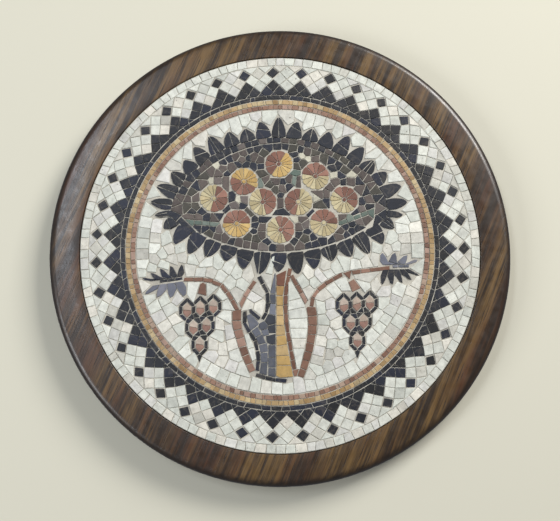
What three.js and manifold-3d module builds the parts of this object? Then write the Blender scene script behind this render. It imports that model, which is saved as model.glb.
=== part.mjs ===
// Round mosaic wall panel: a turned wooden board, a bed of mortar in its recess and a mosaic on the bed.
// Millimetres, +Z up. The flat back lies in the plane Y = 0, centred on the origin. The mosaic faces -Y.
// The shapes are drawn flat, with x to the right, y up and z out from the wall, in a group turned to face -Y.
import * as THREE from "three";
import { mergeVertices } from "three/addons/utils/BufferGeometryUtils.js";
import Module from "manifold-3d";

const wasm = await Module();
wasm.setup();

// Driving dimensions
const BOARD_RADIUS = 200;
const BOARD_THICKNESS = 24;
const BACK_CHAMFER = 1.5;
const RIM_ROUNDING = 7;
const RECESS_RADIUS = 173;
const RECESS_DEPTH = 12;
const BED_THICKNESS = 4;
const STONE_BELOW_RIM = 0.5; // the wood stands this much above the stones
const CLEARANCE = 0.3; // between wood, mortar and stone
const JOINT = 0.8; // mortar joint between two colours of stone
const CIRCLE_SEGMENTS = 48;
const SLIVER_VOLUME = 200; // a smaller piece, cut off by the figures, is left to the mortar

// Rings of the border, by their outer radii
const FIELD_RADIUS = 124.4;
const TERRACOTTA_RADIUS = 128.8;
const OCHRE_RADIUS = 133.2;

// Crowstep border: turned square stones on a lattice, with a black square in each notch of the white
const UNITS = 39;
const STONE_DIAGONAL = 11.85;
const WHITE_BLOCK_RADIUS = 152.8;
const BLACK_SQUARE_RADIUS = 159.7;
const BLACK_SQUARE_DIAGONAL = 9.9;
const NECK_WIDTH = 1.4; // mortar that ties each black square to its triangle

// Tree crown: dark leaves round a core of small stones, in superelliptic outlines, taller above the middle
const CROWN_MIDDLE = [-1, 33];
const CROWN = { halfWidth: 115, above: 86, below: 58 };
const CORE = { halfWidth: 85, above: 61, below: 36 };
const CROWN_POWER = 1.8;
const LEAF_DEPTH = 24;
const LEAF_COUNT = 36;

// Flowers, by the middles of each row
const FLOWER_RADIUS = 13.4;
const FLOWER_PETALS = 8;
const FLOWER_ROWS = [
  [[-1, 75]],
  [[-31.5, 59], [31, 64]],
  [[-57.5, 44], [-15, 41], [16, 41], [56, 43]],
  [[-37.5, 22], [0.5, 16.5], [38, 22.5]],
];

// Trunk: blue-grey stones left of a seam and ochre ones right of it. A dark bough runs down to a cut stub.
const TRUNK_TOP = -12;
const TRUNK_SEAM = -3.4;
const BOUGH = [[-20.5, -21], [-15.4, -29], [-10.7, -40], [-11.2, -53], [-15, -61]];
const TRUNK_GREY_EDGE = [[-5.2, -16], [-7.2, -32], [-9.6, -44]];
const STUB_TOP_EDGE = [[-16, -62.8], [-23.4, -54.7], [-29.9, -55]];
const STUB_EDGE = [...STUB_TOP_EDGE, [-28.5, -67], [-21.6, -79], [-18.4, -92], [-19.5, -107]];
const TRUNK_RIGHT_EDGE = [[8.8, -17], [5.1, -38], [5.2, -61], [9, -86], [13.4, -109]];
const TRUNK_FOOT_EDGE = [[-20.5, -107.5], [-8, -111], [5.8, -112.6]];
const OUTLINE_WIDTH = 3.8;

// Vines: each has a stem, a shoot to the trunk, a shoot to its leaf and a stalk that holds its grapes
const SHOOT_WIDTH = 4;
const VINES = [
  {
    side: "left",
    stem: [[-23.1, -105], [-29.6, -90], [-34.2, -75], [-37.1, -61], [-35.5, -49]],
    toTrunk: [[-34.5, -51], [-28.4, -39], [-21.5, -28]],
    toLeaf: [[-36.3, -53], [-43, -41], [-50, -33], [-62, -27.5], [-83, -27]],
    stalk: [[-65.6, -27], [-67, -41]],
  },
  {
    side: "right",
    stem: [[17.2, -109.5], [22.9, -93], [26.4, -77], [27.9, -62], [26.2, -50]],
    toTrunk: [[25.5, -52], [17.3, -37], [9.6, -23]],
    toLeaf: [[26.2, -53], [28.5, -42], [36, -33], [55, -22.5], [88, -17.5]],
    stalk: [[58, -22], [66, -37]],
  },
];
const STEM_FOOT_WIDTH = 6;
const STEM_TOP_WIDTH = 8.8;
const STALK_WIDTHS = [4, 9];

// Palmette leaves at the ends of the vines
const PALMETTE_LENGTH = 15;
const PALMETTES = [
  { side: "left", from: [-83, -27.5], to: [-107, -31], upperLobes: 5, lowerLobes: 4 },
  { side: "right", from: [88, -17.5], to: [109, -17], upperLobes: 4, lowerLobes: 5 },
];

// Grape bunches: rows of three, two and one that climb to the right, with dark stones round each grape
const GRAPE_HALF_WIDTH = 3.8;
const GRAPE_HALF_HEIGHT = 6.8;
const GRAPE_PITCH = 11.1;
const GRAPE_ROW_PITCH = 15.4;
const GRAPE_RIM = 3.4;
const BUNCHES = [
  { side: "left", centre: [-68, -51.5], climb: 0.16 },
  { side: "right", centre: [65.6, -47.8], climb: 0.09 },
];

const STONE_BOTTOM = BOARD_THICKNESS - RECESS_DEPTH + BED_THICKNESS + CLEARANCE;
const STONE_TOP = BOARD_THICKNESS - STONE_BELOW_RIM;

const STONE_COLOURS = {
  white: "#dcdccf",
  black: "#23242e",
  ochre: "#c9a56c",
  terracotta: "#a0664d",
  core: "#6a5c50",
  slate: "#62656f",
  brown: "#4d3122",
  grape: "#b99a88",
};

const stone = (colour) => new THREE.MeshStandardMaterial({ color: STONE_COLOURS[colour], roughness: 0.6 });
const wood = () => new THREE.MeshStandardMaterial({ color: "#4b3823", roughness: 0.4 });
const mortar = () => new THREE.MeshStandardMaterial({ color: "#b9b3a6", roughness: 0.9 });

const panel = new THREE.Group();
panel.rotation.x = Math.PI / 2;

function place(name, geometry, material) {
  const mesh = new THREE.Mesh(geometry, material);
  mesh.name = name;
  panel.add(mesh);
}

const vector = ([x, y]) => new THREE.Vector2(x, y);
const polar = (radius, angle) => vector([radius * Math.cos(angle), radius * Math.sin(angle)]);

function circle(radius) {
  const step = (2 * Math.PI) / CIRCLE_SEGMENTS;
  return Array.from({ length: CIRCLE_SEGMENTS }, (_, i) => polar(radius, step * i));
}

// An anticlockwise outline moved out by a distance, or in when it is negative, along each corner's mitre.
function offset(outline, distance) {
  return outline.map((corner, i) => {
    const before = corner.clone().sub(outline.at(i - 1)).normalize();
    const after = outline[(i + 1) % outline.length].clone().sub(corner).normalize();
    const mitre = vector([before.y + after.y, -before.x - after.x]).normalize();
    const spread = Math.max(0.6, mitre.dot(vector([before.y, -before.x])));
    return corner.clone().addScaledVector(mitre, distance / spread);
  });
}

// A strip along a smooth curve through the points, its width passing evenly from the first to the second.
function strip(points, startWidth, endWidth = startWidth) {
  const curve = new THREE.SplineCurve(points.map(vector));
  const steps = 2 * points.length - 2;
  const right = [];
  const left = [];
  for (let i = 0; i <= steps; i++) {
    const middle = curve.getPointAt(i / steps);
    const along = curve.getTangentAt(i / steps);
    const halfWidth = THREE.MathUtils.lerp(startWidth, endWidth, i / steps) / 2;
    const across = vector([along.y, -along.x]).multiplyScalar(halfWidth);
    right.push(middle.clone().add(across));
    left.unshift(middle.clone().sub(across));
  }
  return [...right, ...left];
}

// A prism over an outline, with any holes in it, between two heights above the board's back.
function slab(outline, bottom, top, holes = []) {
  const shape = new THREE.Shape(outline);
  shape.holes = holes.map((hole) => new THREE.Path(hole));
  const geometry = new THREE.ExtrudeGeometry(shape, { depth: top - bottom, bevelEnabled: false });
  return geometry.translate(0, 0, bottom);
}

function solid(geometry) {
  geometry.deleteAttribute("normal");
  geometry.deleteAttribute("uv");
  const merged = mergeVertices(geometry);
  const vertProperties = new Float32Array(merged.attributes.position.array);
  const triVerts = new Uint32Array(merged.index.array);
  return new wasm.Manifold(new wasm.Mesh({ numProp: 3, vertProperties, triVerts }));
}

function geometryOf(manifold) {
  const { vertProperties, triVerts } = manifold.getMesh();
  const geometry = new THREE.BufferGeometry();
  geometry.setAttribute("position", new THREE.BufferAttribute(vertProperties, 3));
  geometry.setIndex(new THREE.BufferAttribute(triVerts, 1));
  return geometry;
}

const union = (solids) => solids.reduce((all, next) => all.add(next));

// Wood: the profile runs from the back's centre, over the rounded rim and down into the recess.
function woodBoard() {
  const profile = [
    [0, 0],
    [BOARD_RADIUS - BACK_CHAMFER, 0],
    [BOARD_RADIUS, BACK_CHAMFER],
  ];
  for (const degrees of [0, 30, 60, 90]) {
    const angle = THREE.MathUtils.degToRad(degrees);
    profile.push([
      BOARD_RADIUS - RIM_ROUNDING * (1 - Math.cos(angle)),
      BOARD_THICKNESS - RIM_ROUNDING * (1 - Math.sin(angle)),
    ]);
  }
  profile.push([RECESS_RADIUS, BOARD_THICKNESS], [RECESS_RADIUS, BOARD_THICKNESS - RECESS_DEPTH]);
  profile.push([0, BOARD_THICKNESS - RECESS_DEPTH]);
  return new THREE.LatheGeometry(profile.map(vector), CIRCLE_SEGMENTS).rotateX(Math.PI / 2);
}

function mortarBed() {
  const floor = BOARD_THICKNESS - RECESS_DEPTH + CLEARANCE;
  return slab(circle(RECESS_RADIUS - 2 * CLEARANCE), floor, floor + BED_THICKNESS - CLEARANCE);
}

function ring(innerRadius, outerRadius) {
  return slab(circle(outerRadius - JOINT / 2), STONE_BOTTOM, STONE_TOP, [circle(innerRadius + JOINT / 2)]);
}

// The edge between black and white stones of the border, moved towards the white by a distance.
function crowstepEdge(distance) {
  const diagonal = distance * Math.SQRT2;
  const square = BLACK_SQUARE_DIAGONAL / 2 + diagonal;
  const neck = NECK_WIDTH / 2 + distance;
  const edge = [];
  for (let unit = 0; unit < UNITS; unit++) {
    const middle = (2 * Math.PI * unit) / UNITS;
    const notch = polar(WHITE_BLOCK_RADIUS - STONE_DIAGONAL + diagonal, middle - Math.PI / UNITS);
    edge.push(notch);
    const turned = (radius, across) => vector([radius, across]).rotateAround(new THREE.Vector2(), middle);
    edge.push(
      turned(WHITE_BLOCK_RADIUS - neck + diagonal, -neck),
      turned(BLACK_SQUARE_RADIUS, -square),
      turned(BLACK_SQUARE_RADIUS + square, 0),
      turned(BLACK_SQUARE_RADIUS, square),
      turned(WHITE_BLOCK_RADIUS - neck + diagonal, neck),
    );
  }
  return edge;
}

function borderBlack() {
  return slab(crowstepEdge(-JOINT / 2), STONE_BOTTOM, STONE_TOP, [circle(OCHRE_RADIUS + JOINT / 2)]);
}

function borderWhite() {
  const outside = circle(RECESS_RADIUS - 2 * CLEARANCE);
  return slab(outside, STONE_BOTTOM, STONE_TOP, [crowstepEdge(JOINT / 2)]);
}

// A superelliptic outline about the crown's middle, anticlockwise from its lowest point.
class CrownCurve extends THREE.Curve {
  constructor(size) {
    super();
    this.size = size;
  }

  getPoint(t, target = new THREE.Vector2()) {
    const bend = (value) => Math.sign(value) * Math.abs(value) ** (2 / CROWN_POWER);
    const across = bend(Math.sin(2 * Math.PI * t));
    const up = bend(-Math.cos(2 * Math.PI * t));
    const height = up > 0 ? this.size.above : this.size.below;
    const [x, y] = CROWN_MIDDLE;
    return target.set(x + this.size.halfWidth * across, y + height * up);
  }
}

// The crown's outside: a pointed lobe for each leaf. The lobes lean a little, their lengths differ, and the
// longest points straight up.
function crownLeaves() {
  const edge = new CrownCurve(CROWN);
  const outline = [];
  for (let leaf = 0; leaf < LEAF_COUNT; leaf++) {
    const fromTop = leaf - LEAF_COUNT / 2 + 1;
    const tip = 1 - 0.26 * Math.sin(2.4 * fromTop) ** 2;
    const lean = 0.1 * Math.sin(1.7 * fromTop);
    for (const [along, reach] of [[0, 0.4], [0.22, 0.8 * tip], [0.5 + lean, tip], [0.78, 0.8 * tip]]) {
      const t = ((leaf + along + 0.5) / LEAF_COUNT) % 1;
      const inward = edge.getTangentAt(t).rotateAround(new THREE.Vector2(), Math.PI / 2);
      outline.push(edge.getPointAt(t).addScaledVector(inward, LEAF_DEPTH * (1 - reach)));
    }
  }
  return outline;
}

function crownCore() {
  return new CrownCurve(CORE).getSpacedPoints(28).slice(1);
}

function flower([x, y]) {
  return Array.from({ length: 2 * FLOWER_PETALS }, (_, i) => {
    const radius = i % 2 ? FLOWER_RADIUS : FLOWER_RADIUS * 0.93;
    return polar(radius, (Math.PI * i) / FLOWER_PETALS).add(vector([x, y]));
  });
}

const along = (points) => new THREE.SplineCurve(points.map(vector)).getSpacedPoints(2 * points.length);
const seam = (...heights) => heights.map((height) => vector([TRUNK_SEAM, height]));
const TRUNK_BOTTOM = TRUNK_FOOT_EDGE[1][1];

// The bough's lower half and the stub make the trunk's left side.
function trunkGrey() {
  const corner = vector([TRUNK_GREY_EDGE[0][0], TRUNK_TOP]);
  const left = [...along([...TRUNK_GREY_EDGE, ...BOUGH.slice(3)]), ...along(STUB_EDGE)];
  return [corner, ...left, ...seam(TRUNK_BOTTOM, TRUNK_TOP)];
}

function trunkOchre() {
  return [...seam(TRUNK_TOP, TRUNK_BOTTOM), ...along(TRUNK_RIGHT_EDGE).reverse()];
}

// Half of a palmette: pointed lobes along the midrib, fanning forward towards its end. Side is 1 or -1.
function palmette(from, to, lobes, side) {
  const rib = vector(to).sub(vector(from));
  const onRib = (fraction) => vector(from).addScaledVector(rib, fraction);
  const outward = (fraction) => {
    const fan = THREE.MathUtils.degToRad(THREE.MathUtils.lerp(112, 22, fraction)) * side;
    return rib.clone().normalize().rotateAround(new THREE.Vector2(), fan);
  };
  const outline = [];
  for (let lobe = 0; lobe < lobes; lobe++) {
    for (const [along, reach] of [[0, 0.45], [0.3, 0.85], [0.6, 1], [0.85, 0.7]]) {
      const fraction = (lobe + along) / lobes;
      outline.push(onRib(fraction).addScaledVector(outward(fraction), PALMETTE_LENGTH * reach));
    }
  }
  outline.push(onRib(1.1), onRib(0));
  return side > 0 ? outline.reverse() : outline;
}

function hexagon([x, y]) {
  const shoulder = 0.45 * GRAPE_HALF_HEIGHT;
  return [
    [0, GRAPE_HALF_HEIGHT],
    [-GRAPE_HALF_WIDTH, shoulder],
    [-GRAPE_HALF_WIDTH, -shoulder],
    [0, -GRAPE_HALF_HEIGHT],
    [GRAPE_HALF_WIDTH, -shoulder],
    [GRAPE_HALF_WIDTH, shoulder],
  ].map(([dx, dy]) => vector([x + dx, y + dy]));
}

function grapeCentres({ centre: [x, y], climb }) {
  const centres = [];
  for (let row = 0; row < 3; row++) {
    for (let i = 0; i < 3 - row; i++) {
      const across = (i - (2 - row) / 2) * GRAPE_PITCH;
      centres.push([x + across, y + climb * across - row * GRAPE_ROW_PITCH]);
    }
  }
  return centres;
}

// The dark stones round a bunch's grapes, with its pointed end below.
function bunchRim(bunch) {
  const [x, y] = grapeCentres(bunch).at(-1);
  const point = [[-5, 4], [0, -9], [5, 4]].map(([dx, dy]) => vector([x + dx, y - GRAPE_HALF_HEIGHT + dy]));
  return [...grapeCentres(bunch).map((grape) => offset(hexagon(grape), GRAPE_RIM)), point];
}

// The picture's inlays, in the order they are laid over one another: each gives way to those after it.
const inlays = [];
const inlay = (name, colour, ...outlines) => inlays.push({ name, colour, outlines });

inlay("ground_white", "white", circle(FIELD_RADIUS));
inlay("trunk_grey", "slate", trunkGrey());
inlay("trunk_ochre", "ochre", trunkOchre());
inlay("trunk_outline_brown", "brown", strip(TRUNK_RIGHT_EDGE, OUTLINE_WIDTH));
inlay("trunk_outline_black", "black", strip(STUB_EDGE, OUTLINE_WIDTH), strip(TRUNK_FOOT_EDGE, OUTLINE_WIDTH));
inlay("bough", "black", strip(BOUGH, OUTLINE_WIDTH));
inlay("crown_leaves", "black", crownLeaves());
inlay("crown_core", "core", crownCore());
FLOWER_ROWS.flat().forEach((centre, i) => {
  inlay(`flower_${String(i + 1).padStart(2, "0")}`, i % 2 ? "ochre" : "terracotta", flower(centre));
});
for (const { side, stem, toTrunk, toLeaf, stalk } of VINES) {
  const shoots = [toTrunk, toLeaf].map((shoot) => strip(shoot, SHOOT_WIDTH));
  const stemOutline = strip(stem, STEM_FOOT_WIDTH, STEM_TOP_WIDTH);
  inlay(`vine_${side}`, "terracotta", stemOutline, ...shoots, strip(stalk, ...STALK_WIDTHS));
}
for (const { side, from, to, upperLobes, lowerLobes } of PALMETTES) {
  const up = Math.sign(to[0]);
  inlay(`leaf_${side}_upper`, side === "left" ? "black" : "slate", palmette(from, to, upperLobes, up));
  inlay(`leaf_${side}_lower`, side === "left" ? "slate" : "black", palmette(from, to, lowerLobes, -up));
}
for (const bunch of BUNCHES) {
  inlay(`grapes_${bunch.side}_rim`, "black", ...bunchRim(bunch));
  grapeCentres(bunch).forEach((grape, i) => inlay(`grape_${bunch.side}_${i + 1}`, "grape", hexagon(grape)));
}

const cut = (outlines, grow, bottom, top) =>
  union(outlines.map((outline) => solid(slab(offset(outline, grow), bottom, top))));
const bodyOf = (outlines) => cut(outlines, -JOINT / 2, STONE_BOTTOM, STONE_TOP);
const cutterOf = (outlines) => cut(outlines, JOINT / 2, STONE_BOTTOM - 1, STONE_TOP + 1);

place("wood_board", woodBoard(), wood());
place("mortar_bed", mortarBed(), mortar());
place("border_white", borderWhite(), stone("white"));
place("border_black", borderBlack(), stone("black"));
place("ring_ochre", ring(TERRACOTTA_RADIUS, OCHRE_RADIUS), stone("ochre"));
place("ring_terracotta", ring(FIELD_RADIUS, TERRACOTTA_RADIUS), stone("terracotta"));
inlays.forEach(({ name, colour, outlines }, i) => {
  const above = inlays.slice(i + 1).map((later) => cutterOf(later.outlines));
  const body = above.length ? bodyOf(outlines).subtract(union(above)) : bodyOf(outlines);
  const parts = body.decompose().filter((part) => part.volume() > SLIVER_VOLUME);
  parts.sort((a, b) => b.volume() - a.volume());
  parts.forEach((part, k) => place(k ? `${name}_${k + 1}` : name, geometryOf(part), stone(colour)));
});

export default panel;
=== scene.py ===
import math

import bmesh
import bpy
import numpy as np
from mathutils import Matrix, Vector


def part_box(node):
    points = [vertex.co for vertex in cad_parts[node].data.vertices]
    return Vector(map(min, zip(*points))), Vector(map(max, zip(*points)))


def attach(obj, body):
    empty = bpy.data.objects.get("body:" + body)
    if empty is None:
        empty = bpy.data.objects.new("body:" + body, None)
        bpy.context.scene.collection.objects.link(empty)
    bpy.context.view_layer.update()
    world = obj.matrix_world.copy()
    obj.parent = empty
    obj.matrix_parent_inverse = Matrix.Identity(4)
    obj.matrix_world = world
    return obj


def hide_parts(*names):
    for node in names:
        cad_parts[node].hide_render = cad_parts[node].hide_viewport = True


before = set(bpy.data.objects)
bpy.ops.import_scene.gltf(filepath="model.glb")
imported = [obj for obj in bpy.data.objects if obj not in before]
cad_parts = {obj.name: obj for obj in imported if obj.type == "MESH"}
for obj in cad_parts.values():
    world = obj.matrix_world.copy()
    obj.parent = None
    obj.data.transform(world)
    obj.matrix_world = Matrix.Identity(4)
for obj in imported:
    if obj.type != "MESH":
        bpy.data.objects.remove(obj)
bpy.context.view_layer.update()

# --------------------------------------------------------------------------------------------------
# Camera: a little below the middle of the hanging panel and square to it from side to side. It looks
# slightly up, as a person does who stands close to a panel on a wall.
camera_distance = 0.619
camera_rise = math.radians(-7.8)
aim = Vector((0.0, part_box("ground_white")[0][1], -0.0105))

camera = bpy.data.objects.new("camera", bpy.data.cameras.new("camera"))
camera.data.lens = 46.3
camera.data.sensor_width = 36.0
camera.data.clip_start = 0.01
camera.location = aim + camera_distance * Vector((0.0, -math.cos(camera_rise), math.sin(camera_rise)))
camera.rotation_mode = "QUATERNION"
camera.rotation_quaternion = (aim - camera.location).to_track_quat("-Z", "Y")
bpy.context.scene.collection.objects.link(camera)
bpy.context.scene.camera = camera

# --------------------------------------------------------------------------------------------------
# Board: one piece of dark varnished oak, turned round with a rounded-over rim and a recess for the
# mosaic. The grain runs across the whole board at one slope, and painted shade darkens the rim towards
# its rounded outer edge.


def revolve(name, profile, segments):
    """A surface of revolution about the Y axis: a profile point (radius, y) at angle a stands at (radius
    cos a, y, radius sin a). The profile runs from the axis at the back to the axis at the front."""
    angles = np.linspace(0.0, 2.0 * math.pi, segments, endpoint=False)
    radius, depth = np.asarray(profile, float).T
    points = np.stack(
        [
            radius[:, None] * np.cos(angles),
            np.repeat(depth[:, None], segments, 1),
            radius[:, None] * np.sin(angles),
        ],
        -1,
    ).reshape(-1, 3)
    row, column = np.meshgrid(np.arange(len(profile) - 1), np.arange(segments), indexing="ij")
    start, after = row * segments + column, row * segments + (column + 1) % segments
    faces = np.stack([start, start + segments, after + segments, after], -1).reshape(-1, 4)
    mesh = bpy.data.meshes.new(name)
    mesh.from_pydata(points.tolist(), [], faces.tolist())
    closed = bmesh.new()
    closed.from_mesh(mesh)
    bmesh.ops.remove_doubles(closed, verts=closed.verts, dist=1e-7)
    closed.to_mesh(mesh)
    closed.free()
    mesh.shade_smooth()
    piece = bpy.data.objects.new(name, mesh)
    bpy.context.scene.collection.objects.link(piece)
    return piece


def arc(centre, radius, start, end, steps):
    """Profile points on a circle round centre (radius, y), from one angle to the other in degrees."""
    angles = np.radians(np.linspace(start, end, steps))
    return np.stack([centre[0] + radius * np.cos(angles), centre[1] + radius * np.sin(angles)], -1)


def feed(tree, node, inputs):
    """Fills a shader node's inputs: one given as a socket is linked, and any other is a value."""
    for key, value in dict(inputs).items():
        if isinstance(value, bpy.types.NodeSocket):
            tree.links.new(value, node.inputs[key])
        else:
            node.inputs[key].default_value = value


def put(tree, kind, inputs=(), **settings):
    """Adds a shader node with its settings and its inputs."""
    node = tree.nodes.new("ShaderNode" + kind)
    for name, value in settings.items():
        setattr(node, name, value)
    feed(tree, node, inputs)
    return node


def start_group(name, inputs, outputs):
    """An empty node group with named inputs {name: (kind, value)} and outputs {name: kind}."""
    tree = bpy.data.node_groups.new(name, "ShaderNodeTree")
    for label, (kind, value) in inputs.items():
        socket = tree.interface.new_socket(label, in_out="INPUT", socket_type="NodeSocket" + kind)
        socket.default_value = value
    for label, kind in outputs.items():
        tree.interface.new_socket(label, in_out="OUTPUT", socket_type="NodeSocket" + kind)
    return tree, tree.nodes.new("NodeGroupInput").outputs, tree.nodes.new("NodeGroupOutput").inputs


def place_group(tree, group, inputs=()):
    """Puts a node group into a material's tree, with its inputs filled."""
    return put(tree, "Group", inputs, node_tree=group).outputs


def ramp(tree, value, stops):
    """A colour ramp from (position, grey) stops, eased between them."""
    node = put(tree, "ValToRGB", {"Fac": value})
    node.color_ramp.interpolation = "EASE"
    while len(node.color_ramp.elements) < len(stops):
        node.color_ramp.elements.new(0.5)
    for element, (position, grey) in zip(node.color_ramp.elements, stops):
        element.position = position
        element.color = (grey, grey, grey, 1.0)
    return node.outputs["Color"]


def paint(code):
    """A colour from its six-figure display code, as linear light with full alpha."""
    parts = np.array([int(code[i : i + 2], 16) for i in (0, 2, 4)]) / 255.0
    return (*np.where(parts > 0.04045, ((parts + 0.055) / 1.055) ** 2.4, parts / 12.92), 1.0)


def blend(tree, factor, first, second, mode="MIX"):
    """Two colours mixed by a factor."""
    inputs = {0: factor, 6: first, 7: second}
    return put(tree, "Mix", inputs, data_type="RGBA", blend_type=mode).outputs[2]


def surface(name):
    """A new material with an empty tree, its Principled shader and its tree."""
    material = bpy.data.materials.new(name)
    material.use_nodes = True
    tree = material.node_tree
    return material, tree, tree.nodes["Principled BSDF"]


def oak_grain():
    """Grain along one slope of the X-Z plane: noise stretched along it gives the bands, the streaks and
    the pores."""
    inputs = {
        "Slope": ("Float", math.radians(67.0)),
        "Dark": ("Color", paint("23170c")),
        "Gold": ("Color", paint("69502c")),
        "Red": ("Color", paint("4a2d1a")),
    }
    tree, given, result = start_group("oak grain", inputs, {"Color": "Color", "Height": "Float"})
    place = put(tree, "SeparateXYZ", {0: put(tree, "TexCoord").outputs["Object"]}).outputs
    cosine = put(tree, "Math", {0: given["Slope"]}, operation="COSINE").outputs[0]
    sine = put(tree, "Math", {0: given["Slope"]}, operation="SINE").outputs[0]

    def product(first, second, sign=1.0):
        scaled = put(tree, "Math", {0: first, 1: second}, operation="MULTIPLY").outputs[0]
        return put(tree, "Math", {0: scaled, 1: sign}, operation="MULTIPLY").outputs[0]

    def total(first, second):
        return put(tree, "Math", {0: first, 1: second}, operation="ADD").outputs[0]

    along = total(product(place["X"], cosine), product(place["Z"], sine))
    across = total(product(place["X"], sine), product(place["Z"], cosine, -1.0))

    def stretched(scale, stretch, detail, roughness=0.55):
        drawn_out = {0: across, 1: place["Y"], 2: product(along, 1.0 / stretch)}
        vector = put(tree, "CombineXYZ", drawn_out).outputs[0]
        shape = {"Vector": vector, "Scale": scale, "Detail": detail, "Roughness": roughness}
        return put(tree, "TexNoise", shape).outputs["Fac"]

    bands = stretched(scale=38.0, stretch=9.0, detail=3.0)
    streaks = stretched(scale=230.0, stretch=22.0, detail=5.0, roughness=0.65)
    pores = ramp(tree, stretched(scale=950.0, stretch=26.0, detail=2.0), [(0.3, 0.0), (0.42, 1.0)])
    warm = blend(tree, ramp(tree, bands, [(0.38, 0.0), (0.62, 1.0)]), given["Red"], given["Gold"])
    lit = blend(tree, ramp(tree, streaks, [(0.36, 0.0), (0.66, 1.0)]), given["Dark"], warm)
    tree.links.new(blend(tree, pores, given["Dark"], lit), result["Color"])
    tree.links.new(product(pores, streaks), result["Height"])
    return tree


def varnished_oak():
    """Oak under a satin varnish that shines unevenly where it wears, with painted shade darkening it towards
    the board's outer edge.
    """
    material, tree, shader = surface("varnished oak")
    grain = place_group(tree, oak_grain_group)
    place = put(tree, "SeparateXYZ", {0: put(tree, "TexCoord").outputs["Object"]}).outputs
    flat = put(tree, "CombineXYZ", {0: place["X"], 2: place["Z"]}).outputs[0]
    radius = put(tree, "VectorMath", {0: flat}, operation="LENGTH").outputs["Value"]
    # Painted shade: towards the rounded outer edge the colour goes to near black, as shade where the rim
    # turns away from the light.
    rim_shade_start = rim_flat_radius - rim_shade_reach
    rim_shade = put(tree, "MapRange", {0: radius, 1: rim_shade_start, 2: board_radius, 3: 0.0, 4: 1.0})
    rim_shade.interpolation_type = "SMOOTHSTEP"
    colour = blend(tree, rim_shade.outputs[0], grain["Color"], paint("1c120b"))
    smears = put(tree, "TexNoise", {"Scale": 55.0, "Detail": 4.0}).outputs["Fac"]
    shine = put(tree, "MapRange", {0: smears, 1: 0.3, 2: 0.7, 3: 0.3, 4: 0.5}).outputs[0]
    bump = put(tree, "Bump", {"Height": grain["Height"], "Strength": 0.35, "Distance": 0.0004}).outputs[0]
    for key, value in {"Base Color": colour, "Roughness": shine, "Normal": bump}.items():
        tree.links.new(value, shader.inputs[key])
    shader.inputs["Coat Weight"].default_value = 0.35
    shader.inputs["Coat Roughness"].default_value = 0.28
    return material


board_low, board_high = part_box("wood_board")
board_radius = board_high[0]
board_face = board_low[1]
rim_rounding = 0.007
# The painted shade on the rim starts this far in from where the rounded edge begins.
rim_shade_reach = 0.003
rim_flat_radius = board_radius - rim_rounding
recess_radius = 0.173
recess_depth = 0.012
recess_floor = board_face + recess_depth
halfway_in = 0.1
back_edge = 0.0015
inner_edge = 0.0004
inner_margin = 0.009
board_segments = 288

board = revolve(
    "board",
    np.concatenate(
        [
            [(0.0, 0.0), (halfway_in, 0.0)],
            arc((board_radius - back_edge, -back_edge), back_edge, 90, 0, 6),
            arc((board_radius - rim_rounding, board_face + rim_rounding), rim_rounding, 0, -90, 16),
            [(recess_radius + inner_margin, board_face)],
            arc((recess_radius + inner_edge, board_face + inner_edge), inner_edge, -90, -180, 4),
            [(recess_radius, recess_floor), (halfway_in, recess_floor), (0.0, recess_floor)],
        ]
    ),
    board_segments,
)
oak_grain_group = oak_grain()
board.data.materials.append(varnished_oak())
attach(board, "root")
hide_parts("wood_board")

# --------------------------------------------------------------------------------------------------
# Mortar: lime mortar that fills the recess to just under the stones' faces, rubbed into the joints with
# a sponge. It is pale and sandy, a little uneven, and shows as the thin lines round every stone.


def sandy():
    """Fine sand in mortar: speckles of light and dark grains over soft patches, with a height to match."""
    inputs = {"Color": ("Color", paint("c4bfb2")), "Grain Size": ("Float", 2600.0)}
    tree, given, result = start_group("sandy mortar", inputs, {"Color": "Color", "Height": "Float"})
    place = put(tree, "TexCoord").outputs["Object"]
    patches = put(tree, "TexNoise", {"Vector": place, "Scale": 60.0, "Detail": 3.0}).outputs["Fac"]
    grain_shape = {"Vector": place, "Scale": given["Grain Size"], "Detail": 2.0}
    grains = put(tree, "TexNoise", grain_shape).outputs["Fac"]
    toned = blend(tree, 1.0, given["Color"], ramp(tree, patches, [(0.3, 0.72), (0.7, 1.0)]), "MULTIPLY")
    speckled = blend(tree, 1.0, toned, ramp(tree, grains, [(0.3, 0.7), (0.6, 1.0)]), "MULTIPLY")
    tree.links.new(speckled, result["Color"])
    tree.links.new(grains, result["Height"])
    return tree


def rubbed_mortar():
    """Dry mortar: the sandy pattern with a rough, matt surface."""
    material, tree, shader = surface("rubbed mortar")
    sand = place_group(tree, sandy())
    bump = put(tree, "Bump", {"Height": sand["Height"], "Strength": 0.6, "Distance": 0.0002}).outputs[0]
    tree.links.new(sand["Color"], shader.inputs["Base Color"])
    tree.links.new(bump, shader.inputs["Normal"])
    shader.inputs["Roughness"].default_value = 0.92
    return material


stone_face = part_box("ground_white")[0][1]
mortar_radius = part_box("mortar_bed")[1][0]
below_stones = 0.0007
mortar_face = stone_face + below_stones
swell_height = 0.00012
mortar_rows = 90
mortar_segments = 240

mortar_radii = np.linspace(mortar_radius, 0.0, mortar_rows)
swell = np.sin(mortar_radii * 900.0) + np.sin(mortar_radii * 410.0)
mortar_swell = swell_height * swell * (mortar_radii > 0)
mortar_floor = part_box("mortar_bed")[1][1]
mortar = revolve(
    "mortar",
    np.concatenate(
        [
            [(0.0, mortar_floor), (mortar_radius, mortar_floor)],
            np.stack([mortar_radii, mortar_face + mortar_swell], -1),
        ]
    ),
    mortar_segments,
)
mortar.data.materials.append(rubbed_mortar())
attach(mortar, "root")
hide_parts("mortar_bed")

# --------------------------------------------------------------------------------------------------
# Border: white and black stones pressed into the mortar, most of them squares turned to stand on a
# corner. Four white ones make each block, the black ones between are the steps, and a lone black square
# stands in each notch under the outer row.

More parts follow.
